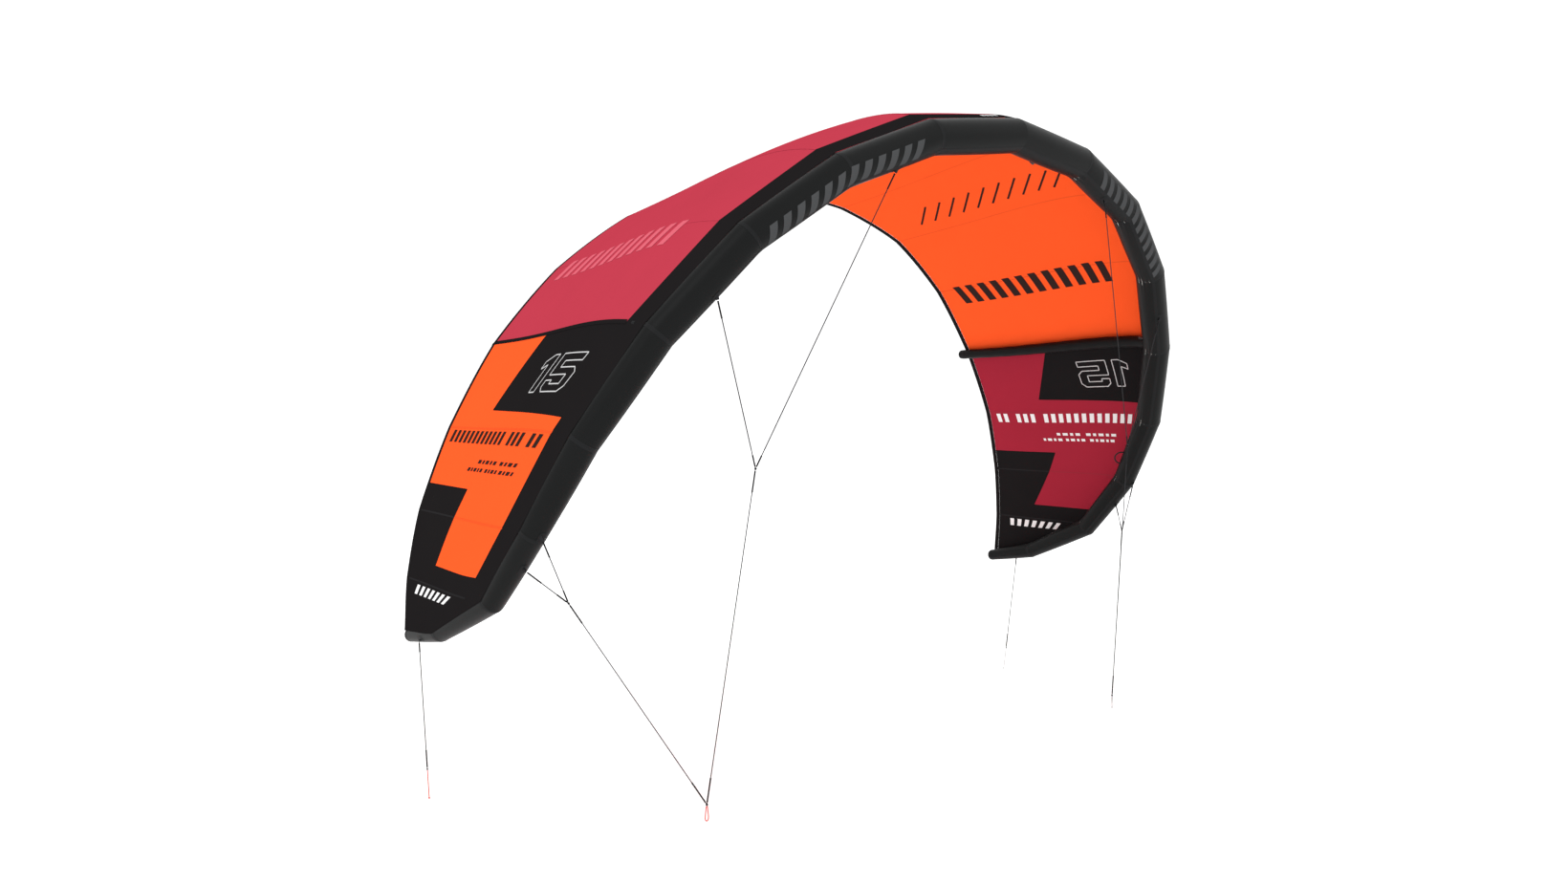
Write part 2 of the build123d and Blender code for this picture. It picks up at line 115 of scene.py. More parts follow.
# ---- camera, floor
CAMERA_PLACE = (-6.105, -4.921, -1.368)
CAMERA_AZIMUTH = -41.475
CAMERA_ELEVATION = 2.84
CAMERA_LENS = 30.73
FLOOR_CLEARANCE = 0.12
WORLD_LIGHT = 1.15

AFT = Vector((0, 1, 0))
SIDES = {"right": 1, "left": -1}

# ---- looks only: canopy
ROUNDNESS = 0.6
ROUND_BEHIND = 0.3
SHEET_ROWS = 36
HEM_BULGE = 0.0026
HEM_SINK = 0.0008
SEAM_WIDTH = 0.010
SEAM_LIFT = 0.0006
BLOCK_SEAM_WIDTH = 0.005
BLOCK_SEAM_LIFT = 0.0009
STRUT_TAPE = 0.026
STRUT_TAPE_LIFT = 0.0012
PRINT_LIFT = 0.0014
NUMBER_STROKE = 0.007
DASH_STROKE = 0.014

# ---- looks only: tube, struts, tabs
TUBE_COLUMNS = 128
PANEL_ROWS = 18
PUFF = 0.0022
PUFF_SINK = 0.0006
WRINKLE_DEPTH = 0.010
WRINKLE_REACH = 0.055
SEAM_DENT = 0.0010
SEAM_DENT_REACH = 0.006
END_PUCKER = 0.03
TAPE_WIDTH = 0.022
RING_TAPE_LIFT = 0.0009
LONG_TAPE_LIFT = 0.0011
LONG_SEAM_ANGLES = (232, 20)
TUBE_PRINT_PLACES = (1.25, 2.90)
TUBE_PRINT_ANGLES = (170, 226)
TUBE_PRINT_SLANT = 0.08
TUBE_PRINT_LIFT = 0.0012
STRUT_COLUMNS = 72
STRUT_PUFF = 0.0012
STRUT_RIDGE = 0.0042
STRUT_RIDGE_ANGLE = 16
WEBBING = 0.0018
WEBBING_LOOP = 0.0042
WEBBING_ROOT = 0.006
PATCH_HALF_LENGTH = 0.035
PATCH_HALF_WIDTH = 0.022
PATCH_LIFT = 0.0018


# ---- shape of the kite
def polar(angle):
    return math.cos(math.radians(angle)), math.sin(math.radians(angle))


def mix(start, end, share):
    return start + (end - start) * share


def smoothstep(value):
    value = min(max(value, 0.0), 1.0)
    return value * value * (3 - 2 * value)


def panel_direction(panel):
    across, down = polar(PANEL_DROPS[panel])
    level, back = polar(PANEL_SWEEPS[panel])
    return Vector((level * across, back, -level * down))


JOINTS = [Vector((0, 0, 0))]
for panel, panel_length in enumerate(PANEL_LENGTHS):
    JOINTS.append(JOINTS[-1] + panel_direction(panel) * panel_length)


def joint_drop(joint):
    if joint == 0:
        return 0
    return (PANEL_DROPS[joint - 1] + PANEL_DROPS[min(joint, LAST_JOINT)]) / 2


def outward(joint):
    across, down = polar(joint_drop(joint))
    return Vector((down, 0, across))


def joint_tangent(joint):
    if joint == 0:
        return Vector((1, 0, 0))
    return (panel_direction(joint - 1) + panel_direction(min(joint, LAST_JOINT))).normalized()


def chord_vector(joint):
    along, up = polar(CHORD_PITCHES[joint])
    across, down = polar(joint_drop(joint))
    lean = Vector((across, 0, -down)) * CHORD_LEANS[joint]
    return (AFT * along + outward(joint) * up) * CHORDS[joint] + lean


def chord_length(place):
    joint = min(max(int(place), 0), LAST_JOINT - 1)
    return mix(CHORDS[joint], CHORDS[joint + 1], place - joint)


def joint_profile(joint, share, lift):
    """A point of the cloth on the chord at a joint; joints past either end continue the row."""
    if joint < 0:
        point = joint_profile(-joint, share, lift)
        return Vector((-point.x, point.y, point.z))
    if joint > LAST_JOINT:
        return joint_profile(LAST_JOINT, share, lift) * 2 - joint_profile(LAST_JOINT - 1, share, lift)
    start = TUBE_RADII[joint] + CLOTH + SEWN_GAP
    fullness = FRONT_CAMBERS[joint] * (1 - share) ** 2 + REAR_CAMBERS[joint]
    height = start * (1 - share) + CHORDS[joint] * fullness * share * (1 - share) + lift
    return JOINTS[joint] + chord_vector(joint) * share + outward(joint) * height


def cloth_point(place, share, lift=0.0):
    """The cloth: straight between joints where it is sewn to the tube, rounder further back."""
    joint = min(max(int(math.floor(place)), 0), LAST_JOINT - 1)
    part = place - joint
    before, near, far, after = [joint_profile(joint + step, share, lift) for step in (-1, 0, 1, 2)]
    straight = mix(near, far, part)
    curved = 0.5 * (2 * near + (far - before) * part
                    + (2 * before - 5 * near + 4 * far - after) * part ** 2
                    + (3 * near - 3 * far + after - before) * part ** 3)
    return mix(straight, curved, ROUNDNESS * smoothstep(share / ROUND_BEHIND))


def band_share(place):
    return BAND_WIDTH / chord_length(place)


def hem_share(place):
    return 1 - HEM_WIDTH / chord_length(place)


def tube_frame(joint):
    tangent = joint_tangent(joint)
    out = outward(joint)
    out = (out - tangent * out.dot(tangent)).normalized()
    return out.cross(tangent), out


def tube_ring(joint, angle, lift):
    back, out = tube_frame(joint)
    along, up = polar(angle)
    return JOINTS[joint] + (back * along + out * up) * (TUBE_RADII[joint] + lift)


def tube_point(place, angle, lift=0.0):
    joint = min(int(place), LAST_JOINT)
    return mix(tube_ring(joint, angle, lift), tube_ring(joint + 1, angle, lift), place - joint)


def bend_angle(joint):
    """Where round the tube its cloth is squeezed by the bend at a joint."""
    bend = panel_direction(joint) - panel_direction(joint - 1)
    back, out = tube_frame(joint)
    return math.degrees(math.atan2(bend.dot(out), bend.dot(back)))


def panel_tab_root(place, angle):
    """Where a bridle tab leaves the tube, and in which direction."""
    joint = min(int(place), LAST_JOINT)
    share = place - joint
    direction = panel_direction(joint)
    back = (AFT - direction * AFT.dot(direction)).normalized()
    out = direction.cross(back)
    if out.dot(outward(joint)) < 0:
        out = -out
    along, up = polar(angle)
    radial = back * along + out * up
    centre = mix(JOINTS[joint], JOINTS[joint + 1], share)
    return centre + radial * mix(TUBE_RADII[joint], TUBE_RADII[joint + 1], share), radial


def strut_centre(share):
    radius = mix(*STRUT_RADII, share)
    return joint_profile(STRUT_JOINT, share, -CLOTH - STRUT_GAP - radius)


# ---- materials
def new_material(name, colour, roughness, **settings):
    """A material, its node tree and its shader; settings name the shader's sockets."""
    material = bpy.data.materials.new(name)
    material.use_nodes = True
    shader = material.node_tree.nodes["Principled BSDF"]
    shader.inputs["Base Color"].default_value = (*colour, 1)
    shader.inputs["Roughness"].default_value = roughness
    for socket, value in settings.items():
        shader.inputs[socket.replace("_", " ")].default_value = value
    return material, material.node_tree, shader


def add_node(tree, kind, **settings):
    node = tree.nodes.new(kind)
    for name, value in settings.items():
        if name in node.inputs:
            node.inputs[name].default_value = value
        else:
            setattr(node, name, value)
    return node


def stripes(tree, vector, direction, spacing):
    """Thin threads across the cloth's own measured coordinates."""
    wave = add_node(tree, "ShaderNodeTexWave", wave_type="BANDS", bands_direction=direction,
                    wave_profile="SIN")
    wave.inputs["Scale"].default_value = math.pi / (10 * spacing)
    tree.links.new(vector, wave.inputs["Vector"])
    return wave.outputs["Fac"]


def joined(tree, operation, first, second):
    node = add_node(tree, "ShaderNodeMath", operation=operation)
    for socket, value in zip(node.inputs, (first, second)):
        if isinstance(value, (int, float)):
            socket.default_value = value
        else:
            tree.links.new(value, socket)
    return node.outputs[0]


def tint(tree, shader, colour, amount, pattern):
    """Vary the colour by amount, darker to lighter, along pattern."""
    ramp = add_node(tree, "ShaderNodeValToRGB")
    ramp.color_ramp.elements[0].color = (*[c * (1 - amount) for c in colour], 1)
    ramp.color_ramp.elements[1].color = (*[min(c * (1 + amount), 1) for c in colour], 1)
    tree.links.new(pattern, ramp.inputs["Fac"])
    tree.links.new(ramp.outputs["Color"], shader.inputs["Base Color"])


def bumps(tree, shader, height, strength, distance):
    bump = add_node(tree, "ShaderNodeBump", Strength=strength, Distance=distance)
    tree.links.new(height, bump.inputs["Height"])
    tree.links.new(bump.outputs["Normal"], shader.inputs["Normal"])


def cloth_material(name, colour, roughness, grid, variation=0.05, gloss=0.0):
    """Woven cloth: plain weave, a ripstop grid of thicker threads, and soft unevenness."""
    material, tree, shader = new_material(name, colour, roughness, Specular_IOR_Level=gloss)
    place = add_node(tree, "ShaderNodeUVMap", uv_map="cloth").outputs["UV"]
    weave = joined(tree, "ADD", stripes(tree, place, "X", 0.0012), stripes(tree, place, "Y", 0.0012))
    ripstop = joined(tree, "MAXIMUM", stripes(tree, place, "X", grid), stripes(tree, place, "Y", grid))
    thread = joined(tree, "POWER", ripstop, 14)
    height = joined(tree, "ADD", joined(tree, "MULTIPLY", weave, 0.2), thread)
    where = add_node(tree, "ShaderNodeTexCoord").outputs["Object"]
    cloud = add_node(tree, "ShaderNodeTexNoise", Scale=2.2, Detail=3.0, Roughness=0.55)
    tree.links.new(where, cloud.inputs["Vector"])
    pattern = joined(tree, "ADD", joined(tree, "MULTIPLY", thread, 0.18),
                     joined(tree, "MULTIPLY", cloud.outputs["Fac"], 0.9))
    tint(tree, shader, colour, variation, pattern)
    bumps(tree, shader, height, 0.22, 0.0004)
    return material


def plain_material(name, colour, roughness, grain, strength, **settings):
    """Moulded plastic, film or rubber with a fine grain."""
    material, tree, shader = new_material(name, colour, roughness, **settings)
    where = add_node(tree, "ShaderNodeTexCoord").outputs["Object"]
    noise = add_node(tree, "ShaderNodeTexNoise", Scale=grain, Detail=3.0)
    tree.links.new(where, noise.inputs["Vector"])
    tint(tree, shader, colour, 0.08, noise.outputs["Fac"])
    bumps(tree, shader, noise.outputs["Fac"], strength, 0.0003)
    return material


def strand_material(name, colour, roughness, waves, operation, variation, strength, distance):
    """Crossing strands: two sets of waves, each given by its node's settings."""
    material, tree, shader = new_material(name, colour, roughness, Specular_IOR_Level=0.15)
    where = add_node(tree, "ShaderNodeTexCoord").outputs["Object"]
    crossed = []
    for settings in waves:
        wave = add_node(tree, "ShaderNodeTexWave", **settings)
        tree.links.new(where, wave.inputs["Vector"])
        crossed.append(wave.outputs["Fac"])
    height = joined(tree, operation, *crossed)
    tint(tree, shader, colour, variation, height)
    bumps(tree, shader, height, strength, distance)
    return material


def braid_material(name, colour):
    """Braided line: two sets of strands that cross."""
    waves = (dict(bands_direction="DIAGONAL", Scale=260.0, Distortion=0.6),
             dict(bands_direction="Z", Scale=190.0, Distortion=0.6))
    return strand_material(name, colour, 0.7, waves, "MAXIMUM", 0.25, 0.5, 0.0004)


def webbing_material(name, colour):
    """Woven webbing: ribs across it, broken up along it."""
    waves = (dict(bands_direction="Z", Scale=170.0), dict(bands_direction="X", Scale=230.0))
    return strand_material(name, colour, 0.75, waves, "MULTIPLY", 0.2, 0.6, 0.0005)


BLACK_TUBE = (0.0075, 0.0080, 0.0080)
BLACK_CLOTH = (0.0125, 0.0112, 0.0116)
CRIMSON = (0.45, 0.040, 0.066)
# Painted shade: the crimson darkened to stand in for the shade inside the right tip; it is the same
# cloth as CRIMSON.
CRIMSON_PAINTED_SHADE = (0.33, 0.021, 0.040)
ORANGE = (0.93, 0.100, 0.021)

MATERIALS = {
    "tube": cloth_material("black_tube_cloth", BLACK_TUBE, 0.38, 0.012, 0.12, 0.07),
    "crimson": cloth_material("crimson_canopy_cloth", CRIMSON, 0.5, 0.008),
    # Painted shade: a darker copy of the crimson cloth, for the right tip's shaded inside.
    "crimson_painted_shade": cloth_material("crimson_painted_shade_cloth", CRIMSON_PAINTED_SHADE, 0.5, 0.008),
    "orange": cloth_material("orange_canopy_cloth", ORANGE, 0.5, 0.008, 0.035),
    "black": cloth_material("black_canopy_cloth", BLACK_CLOTH, 0.5, 0.008, 0.10),
    "seam": cloth_material("seam_tape", (0.012, 0.0125, 0.013), 0.45, 0.004, 0.15, 0.06),
    "crimson_seam": cloth_material("crimson_seam", (0.47, 0.042, 0.070), 0.5, 0.004, 0.1),
    # Painted shade: the crimson seam tape, darkened the same way for the right tip.
    "crimson_painted_shade_seam": cloth_material("crimson_seam_painted_shade", (0.29, 0.024, 0.040), 0.5, 0.004, 0.1),
    "orange_seam": cloth_material("orange_seam", (0.80, 0.085, 0.020), 0.5, 0.004, 0.1),
    "black_seam": cloth_material("black_seam", (0.020, 0.019, 0.020), 0.5, 0.004, 0.15),
    "print_grey": cloth_material("grey_print", (0.062, 0.064, 0.066), 0.55, 0.008, 0.08),
    "print_light": cloth_material("light_print", (0.55, 0.55, 0.55), 0.55, 0.008, 0.05),
    "print_white": cloth_material("white_print", (0.80, 0.80, 0.80), 0.55, 0.008, 0.04),
    "print_black": cloth_material("black_print", (0.030, 0.018, 0.016), 0.55, 0.008, 0.08),
    "print_pink": cloth_material("pink_print", (0.63, 0.115, 0.155), 0.55, 0.008, 0.05),
    "webbing": webbing_material("black_webbing", (0.018, 0.018, 0.020)),
    "line": braid_material("grey_line", (0.022, 0.023, 0.025)),
    "sleeve": braid_material("black_sleeve", (0.008, 0.008, 0.009)),
    "red": braid_material("red_line", (0.60, 0.050, 0.030)),
    "white": braid_material("white_line", (0.44, 0.44, 0.44)),
    "plastic": plain_material("valve_plastic", (0.016, 0.016, 0.018), 0.35, 400.0, 0.25),
    "rubber": plain_material("hose_rubber", (0.012, 0.012, 0.013), 0.5, 250.0, 0.4),
    "film": plain_material("bladder_film", (0.70, 0.72, 0.66), 0.2, 60.0, 0.3, Transmission_Weight=0.6),
}


# ---- mesh helpers
SLOTS = {"tube": "black_tube_cloth", "seam": "black_tube_cloth", "webbing": "webbing",
         "line": "grey_line", "sleeve": "black_sleeve", "red": "red_line", "white": "white_line"}


def add_object(name, data, material, body="airframe", slot_name=None):
    """A piece on its body; slot_name is not used."""
    piece = bpy.data.objects.new(name, data)
    bpy.context.scene.collection.objects.link(piece)
    data.materials.append(MATERIALS[material])
    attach(piece, body)
    slot_name = slot_name or SLOTS.get(material)
    return piece


def side_of(points, side):
    return [Vector((point.x * side, point.y, point.z)) for point in points]


def faces_mesh(name, points, faces, coordinates, side):
    """A smooth mesh from points of the right half, mirrored for the left, with metric cloth UVs."""
    if side < 0:
        faces = [face[::-1] for face in faces]
    data = bpy.data.meshes.new(name)
    data.from_pydata(side_of(points, side), [], faces)
    layer = data.uv_layers.new(name="cloth")
    for loop in data.loops:
        layer.data[loop.index].uv = coordinates[loop.vertex_index]
    data.polygons.foreach_set("use_smooth", [True] * len(data.polygons))
    data.update()
    return data


def add_rows(mesh, rows, closed=False):
    """Add quads between rows of points to mesh, a pair of lists: points and faces."""
    points, faces = mesh
    width = len(rows[0])
    first = len(points)
    for row in rows:
        points.extend(row)
    for index in range(len(rows) - 1):
        for number in range(width if closed else width - 1):
            after = (number + 1) % width
            low = first + index * width
            high = low + width
            faces.append((low + number, low + after, high + after, high + number))


def tube_mesh(name, rows, side, capped=False):
    """A mesh between closed rings, measured along and around for the weave."""
    width = len(rows[0])
    mesh = ([], [])
    add_rows(mesh, rows, closed=True)
    points, faces = mesh
    coordinates = []
    along = 0.0
    for index, row in enumerate(rows):
        if index:
            along += (row[0] - rows[index - 1][0]).length
        around = 0.0
        for number, point in enumerate(row):
            if number:
                around += (point - row[number - 1]).length
            coordinates.append((along, around))
    if capped:
        faces.append(tuple(range(width))[::-1])
        faces.append(tuple(range(len(points) - width, len(points))))
    return faces_mesh(name, points, faces, coordinates, side)


def marks_object(name, mesh, side_name, material, body="airframe"):
    """The points and faces of mesh as one piece of a side."""
    name = f"{name}_{side_name}"
    points, faces = mesh
    coordinates = [(point.x, point.z) for point in points]
    data = faces_mesh(name, points, faces, coordinates, SIDES[side_name])
    return add_object(name, data, material, body)


def spans(start, end, count):
    return [mix(start, end, step / count) for step in range(count + 1)]


# ---- the canopy
def sheet_grid(first, last, rows, columns_each=12):
    """A flat grid in (place, share from band to hem), to be cut and then laid on the kite."""
    sheet = bmesh.new()
    places = spans(first, last, int((last - first) * columns_each))
    lines = [[sheet.verts.new((place, row, 0)) for row in spans(0.0, 1.0, rows)] for place in places]
    for near, far in zip(lines, lines[1:]):
        for number in range(rows):
            sheet.faces.new((near[number], near[number + 1], far[number + 1], far[number]))
    return sheet


def cut_along(sheet, start, end):
    along = Vector((end[0] - start[0], end[1] - start[1], 0))
    geometry = sheet.verts[:] + sheet.edges[:] + sheet.faces[:]
    bmesh.ops.bisect_plane(sheet, geom=geometry, dist=1e-5, plane_co=(start[0], start[1], 0),
                           plane_no=(-along.y, along.x, 0))


def closed_pairs(outline):
    return zip(outline, outline[1:] + outline[:1])


def inside(outline, place, row):
    within = False
    for start, end in closed_pairs(outline):
        if (start[1] > row) != (end[1] > row):
            crossing = start[0] + (row - start[1]) / (end[1] - start[1]) * (end[0] - start[0])
            if place < crossing:
                within = not within
    return within


def laid_piece(name, sheet, keep, low_share, high_share, side, material, slot_name):
    """The faces that keep() chooses, laid on the kite between two shares of the chord."""
    numbers, points, coordinates, faces = {}, [], [], []
    sheet.verts.index_update()
    for face in sheet.faces:
        middle = face.calc_center_median()
        if not keep(middle.x, middle.y):
            continue
        corners = []
        for vertex in face.verts:
            if vertex.index not in numbers:
                place, row = vertex.co.x, vertex.co.y
                share = mix(low_share(place), high_share(place), row)
                numbers[vertex.index] = len(points)
                points.append(cloth_point(place, share))
                coordinates.append((place * MEAN_PANEL, share * chord_length(place)))
            corners.append(numbers[vertex.index])
        faces.append(corners)
    data = faces_mesh(name, points, faces, coordinates, side)
    return add_object(name, data, material, slot_name=slot_name)


def sheet_size(first, last, low_share, high_share):
    """Flat width, length and area of the cloth between two joints, from the cutting list."""
    width = sum(PANEL_LENGTHS[first:last])
    cuts = [CHORDS[j] * (high_share(j) - low_share(j)) for j in range(first, last + 1)]
    area = sum(PANEL_LENGTHS[first + n] * (cuts[n] + cuts[n + 1]) / 2 for n in range(last - first))
    return width, max(cuts), area


def tip_region(place, row):
    """Which of the tip panel's four sheets covers a place on it."""
    if place > WINGTIP_PLACE:
        return "wingtip"
    if inside(TIP_BLOCK, place, row):
        return "colour"
    last_place, last_row = FRONT_BLACK_END
    return "front_black" if place < last_place and row < last_row else "rear_black"


def declare_sheet(first, last, low_share, high_share):
    width, length, area = sheet_size(first, last, low_share, high_share)


def canopy(side_name, centre_material, tip_material, slots):
    side = SIDES[side_name]
    centre = sheet_grid(0, STRUT_JOINT, SHEET_ROWS)
    piece = laid_piece(f"canopy_centre_cloth_{side_name}", centre, lambda place, row: True,
                       band_share, hem_share, side, centre_material, slots[0])
    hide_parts(f"canopy_centre_{side_name}")
    declare_sheet(0, STRUT_JOINT, band_share, hem_share)

    tip = sheet_grid(STRUT_JOINT, LAST_JOINT, SHEET_ROWS)
    for start, end in closed_pairs(TIP_BLOCK):
        cut_along(tip, start, end)
    black = ("black", "black_canopy_cloth")
    for name, region, material, slot_name, node in (
            ("tip_colour_cloth", "colour", tip_material, slots[1], "canopy_tip"),
            ("tip_black_cloth_front", "front_black", *black, None),
            ("tip_black_cloth_rear", "rear_black", *black, None),
            ("wingtip_cloth", "wingtip", *black, "canopy_wingtip")):
        piece = laid_piece(f"{name}_{side_name}", tip,
                           lambda place, row: tip_region(place, row) == region,
                           band_share, hem_share, side, material, slot_name)
        if node:
            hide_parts(f"{node}_{side_name}")

    band = sheet_grid(0, LAST_JOINT, 5)
    piece = laid_piece(f"seam_band_cloth_{side_name}", band, lambda place, row: True,
                       lambda place: 0.0, band_share, side, *black)
    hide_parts(f"seam_band_{side_name}")
    declare_sheet(0, LAST_JOINT, lambda joint: 0.0, band_share)
    for sheet in (centre, tip, band):
        sheet.free()


def hem(side_name):
    """The folded hem: a flattened tube of cloth along the trailing edge."""
    rows = []
    for place in spans(0.0, LAST_JOINT, 96):
        front = hem_share(place)
        ring = []
        for angle in range(0, 360, 30):
            along, up = polar(angle)
            share = mix(front, 1.0, 0.5 - 0.5 * along)
            ring.append(cloth_point(place, share, HEM_BULGE * up - HEM_SINK))
        rows.append(ring)
    data = tube_mesh(f"hem_{side_name}", rows, SIDES[side_name], capped=True)
    piece = add_object(f"trailing_edge_hem_fold_{side_name}", data, "black",
                       slot_name="black_canopy_cloth")
    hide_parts(f"trailing_edge_hem_{side_name}")


def cloth_normal(place, share):
    step = 0.01
    aft = cloth_point(place, min(share + step, 1)) - cloth_point(place, max(share - step, 0))
    along = cloth_point(min(place + step, LAST_JOINT), share) - cloth_point(max(place - step, 0), share)
    return along.cross(aft).normalized()


def ribbon_rows(route, width, lift):
    """Rows across a narrow tape that follows route, a list of (place, share) on the cloth."""
    rows = []
    for index, (place, share) in enumerate(route):
        before = cloth_point(*route[max(index - 1, 0)])
        after = cloth_point(*route[min(index + 1, len(route) - 1)])
        normal = cloth_normal(place, share)
        sideways = (after - before).normalized().cross(normal).normalized() * (width / 2)
        middle = cloth_point(place, share, lift)
        rows.append([middle - sideways, middle, middle + sideways])
    return rows


def add_ribbon(mesh, route, width, lift):
    """A tape along route on both faces of the cloth."""
    for height in (lift, -lift):
        add_rows(mesh, ribbon_rows(route, width, height))


def seam_tapes(side_name, centre_material, tip_material):
    """Narrow flat-felled seams along the chord at the joints, each stretch in its cloth's colour."""
    for joint in (1, 2, 3, 5, 6, 7):
        routes = {centre_material: [[]], tip_material: [[]], "black_seam": [[]]}
        for row in spans(0.0, 1.0, 90):
            material = centre_material
            if joint > STRUT_JOINT:
                coloured = inside(TIP_BLOCK, joint, min(row + 0.005, 0.999))
                material = tip_material if coloured else "black_seam"
            for other, parts in routes.items():
                if other == material:
                    parts[-1].append((joint, mix(band_share(joint), hem_share(joint), row)))
                elif parts[-1]:
                    parts.append([])
        for material, parts in routes.items():
            mesh = ([], [])
            for route in parts:
                if len(route) > 1:
                    add_ribbon(mesh, route, SEAM_WIDTH, SEAM_LIFT)
            if mesh[1]:
                marks_object(f"canopy_seam_{joint}_{material}", mesh, side_name, material)


def block_edges(side_name):
    """The zigzag seam round the colour block of the tip panel."""
    mesh = ([], [])
    for start, end in zip(TIP_BLOCK[:-1], TIP_BLOCK[1:]):
        length = (chord_point(*start) - chord_point(*end)).length
        route = []
        for part in spans(0.0, 1.0, max(int(length / 0.03), 2)):
            place, row = mix(start[0], end[0], part), mix(start[1], end[1], part)
            route.append((place, mix(band_share(place), hem_share(place), row)))
        add_ribbon(mesh, route, BLOCK_SEAM_WIDTH, BLOCK_SEAM_LIFT)
    marks_object("tip_block_seam", mesh, side_name, "black")


def chord_point(place, row):
    return cloth_point(place, mix(band_share(place), hem_share(place), row))


# ---- printed marks
def add_patch(mesh, corners, lift, steps=(6, 3)):
    """A printed area between four corners given as (place, share), on both faces of the cloth."""
    first, second, third, fourth = corners
    for height in (lift, -lift):
        rows = []
        for step in range(steps[0] + 1):
            low = [mix(a, b, step / steps[0]) for a, b in zip(first, second)]
            high = [mix(a, b, step / steps[0]) for a, b in zip(fourth, third)]
            row = []
            for part in range(steps[1] + 1):
                place, share = [mix(a, b, part / steps[1]) for a, b in zip(low, high)]
                row.append(cloth_point(place, share, height))
            rows.append(row)
        add_rows(mesh, rows)


def bar_row(name, side_name, material, places, shares, pattern, slant, towards_back=True):
    """A row of slanted bars along the chord; pattern gives each bar's and gap's relative width."""
    mesh = ([], [])
    total = sum(pattern)
    along = 0.0
    for number, width in enumerate(pattern):
        low, high = along / total, (along + width) / total
        along += width
        if number % 2:
            continue
        if not towards_back:
            low, high = 1 - high, 1 - low
        lean = slant if towards_back else -slant
        ends = [mix(*shares, value) for value in (low, high)]
        corners = ((places[0], ends[0] + lean), (places[1], ends[0] - lean),
                   (places[1], ends[1] - lean), (places[0], ends[1] + lean))
        add_patch(mesh, corners, PRINT_LIFT)
    return marks_object(name, mesh, side_name, material)


DIGITS = (
    ((0.13, 0.0), (0.29, 0.0), (0.29, 1.0), (0.16, 1.0), (0.0, 0.84), (0.0, 0.64), (0.13, 0.74)),
    ((0.42, 0.30), (0.42, 0.12), (0.49, 0.0), (0.92, 0.0), (1.0, 0.14), (1.0, 0.50), (0.92, 0.63),
     (0.58, 0.63), (0.58, 0.80), (0.97, 0.80), (0.97, 1.0), (0.42, 1.0), (0.42, 0.44), (0.84, 0.44),
     (0.84, 0.20), (0.58, 0.20), (0.58, 0.30)),
)
NUMBER_PLACES = (4.64, 4.28)
NUMBER_SHARES = (0.17, 0.43)
NUMBER_SLANT = 0.035


def size_number(side_name):
    """The kite's area in square metres as two outlined, slanted figures on the tip panel."""
    mesh = ([], [])
    for outline in DIGITS:
        corners = []
        for across, up in outline:
            lean = NUMBER_SLANT * (up - 0.5)
            if side_name == "right":
                share = mix(*NUMBER_SHARES, across) + lean
            else:
                share = mix(*NUMBER_SHARES, 1 - across) - lean
            corners.append((mix(*NUMBER_PLACES, up), share))
        for start, end in closed_pairs(corners):
            route = [tuple(mix(a, b, step / 8) for a, b in zip(start, end)) for step in range(9)]
            add_ribbon(mesh, route, NUMBER_STROKE, PRINT_LIFT)
    marks_object("size_number", mesh, side_name, "print_light")


WORD = (1.0, 0.8) * 11 + (1.0,)
SHORT_WORD = (1.0, 0.9) * 6 + (1.0,)
LONG_WORD = WORD + (2.2, 1.0, 0.8, 1.0, 0.8, 1.0, 2.2, 1.0, 0.8, 1.0)
SMALL_WORD = (1, 0.5, 0.6, 0.5, 1, 0.5, 0.6, 0.5, 0.9, 1.2, 0.9, 0.5, 0.6, 0.5, 1, 0.5, 0.7)


def printed_marks():
    bar_row("centre_panel_bars", "right", "print_black", (2.96, 3.24), (0.22, 0.90), WORD, 0.014)
    bar_row("centre_panel_bars", "left", "print_pink", (2.96, 3.22), (0.22, 0.90), WORD, 0.010, False)
    for side_name, material in (("right", "print_white"), ("left", "print_black")):
        back = side_name == "right"
        bar_row("tip_bars", side_name, material, (5.03, 5.17), (0.13, 0.93), LONG_WORD, 0.005, back)
        bar_row("tip_small_bars_upper", side_name, material, (5.34, 5.38), (0.20, 0.56), SMALL_WORD,
                0.003, back)
        bar_row("tip_small_bars_lower", side_name, material, (5.43, 5.47), (0.20, 0.64),
                SMALL_WORD + (0.9,) + SMALL_WORD[:7], 0.003, back)
        bar_row("wingtip_bars", side_name, "print_white", (7.06, 7.24), (0.30, 0.83), SHORT_WORD,
                0.012, back)
        size_number(side_name)

    mesh = ([], [])
    for number in range(10):
        share = mix(0.18, 0.74, number / 9)
        route = [(mix(1.50, 1.80, step / 6), share + 0.09 * step / 6) for step in range(7)]
        add_ribbon(mesh, route, DASH_STROKE, PRINT_LIFT)
    marks_object("centre_panel_dashes", mesh, "right", "print_black")

    label = ([], [])
    for number in range(4):
        low = 0.12 + 0.05 * number
        add_patch(label, ((low, 0.020), (low + 0.035, 0.020), (low + 0.035, 0.034), (low, 0.034)),
                  PRINT_LIFT * 2, (3, 2))
    marks_object("band_label", label, "left", "print_white")


def tube_bars(side_name):
    """Slanted dark grey bars printed round the front of the tube."""
    mesh = ([], [])
    total = sum(WORD)
    along = 0.0
    for number, width in enumerate(WORD):
        low, high = [mix(*TUBE_PRINT_PLACES, value / total) for value in (along, along + width)]
        along += width
        if number % 2:
            continue
        rows = []
        for step in range(15):
            angle = mix(*TUBE_PRINT_ANGLES, step / 14)
            lean = TUBE_PRINT_SLANT * (step / 14 - 0.5)
            places = [mix(low, high, part / 12) + lean for part in range(13)]
            rows.append([tube_skin(place, angle, TUBE_PRINT_LIFT) for place in places])
        add_rows(mesh, rows)
    marks_object("tube_bars", mesh, side_name, "print_grey")


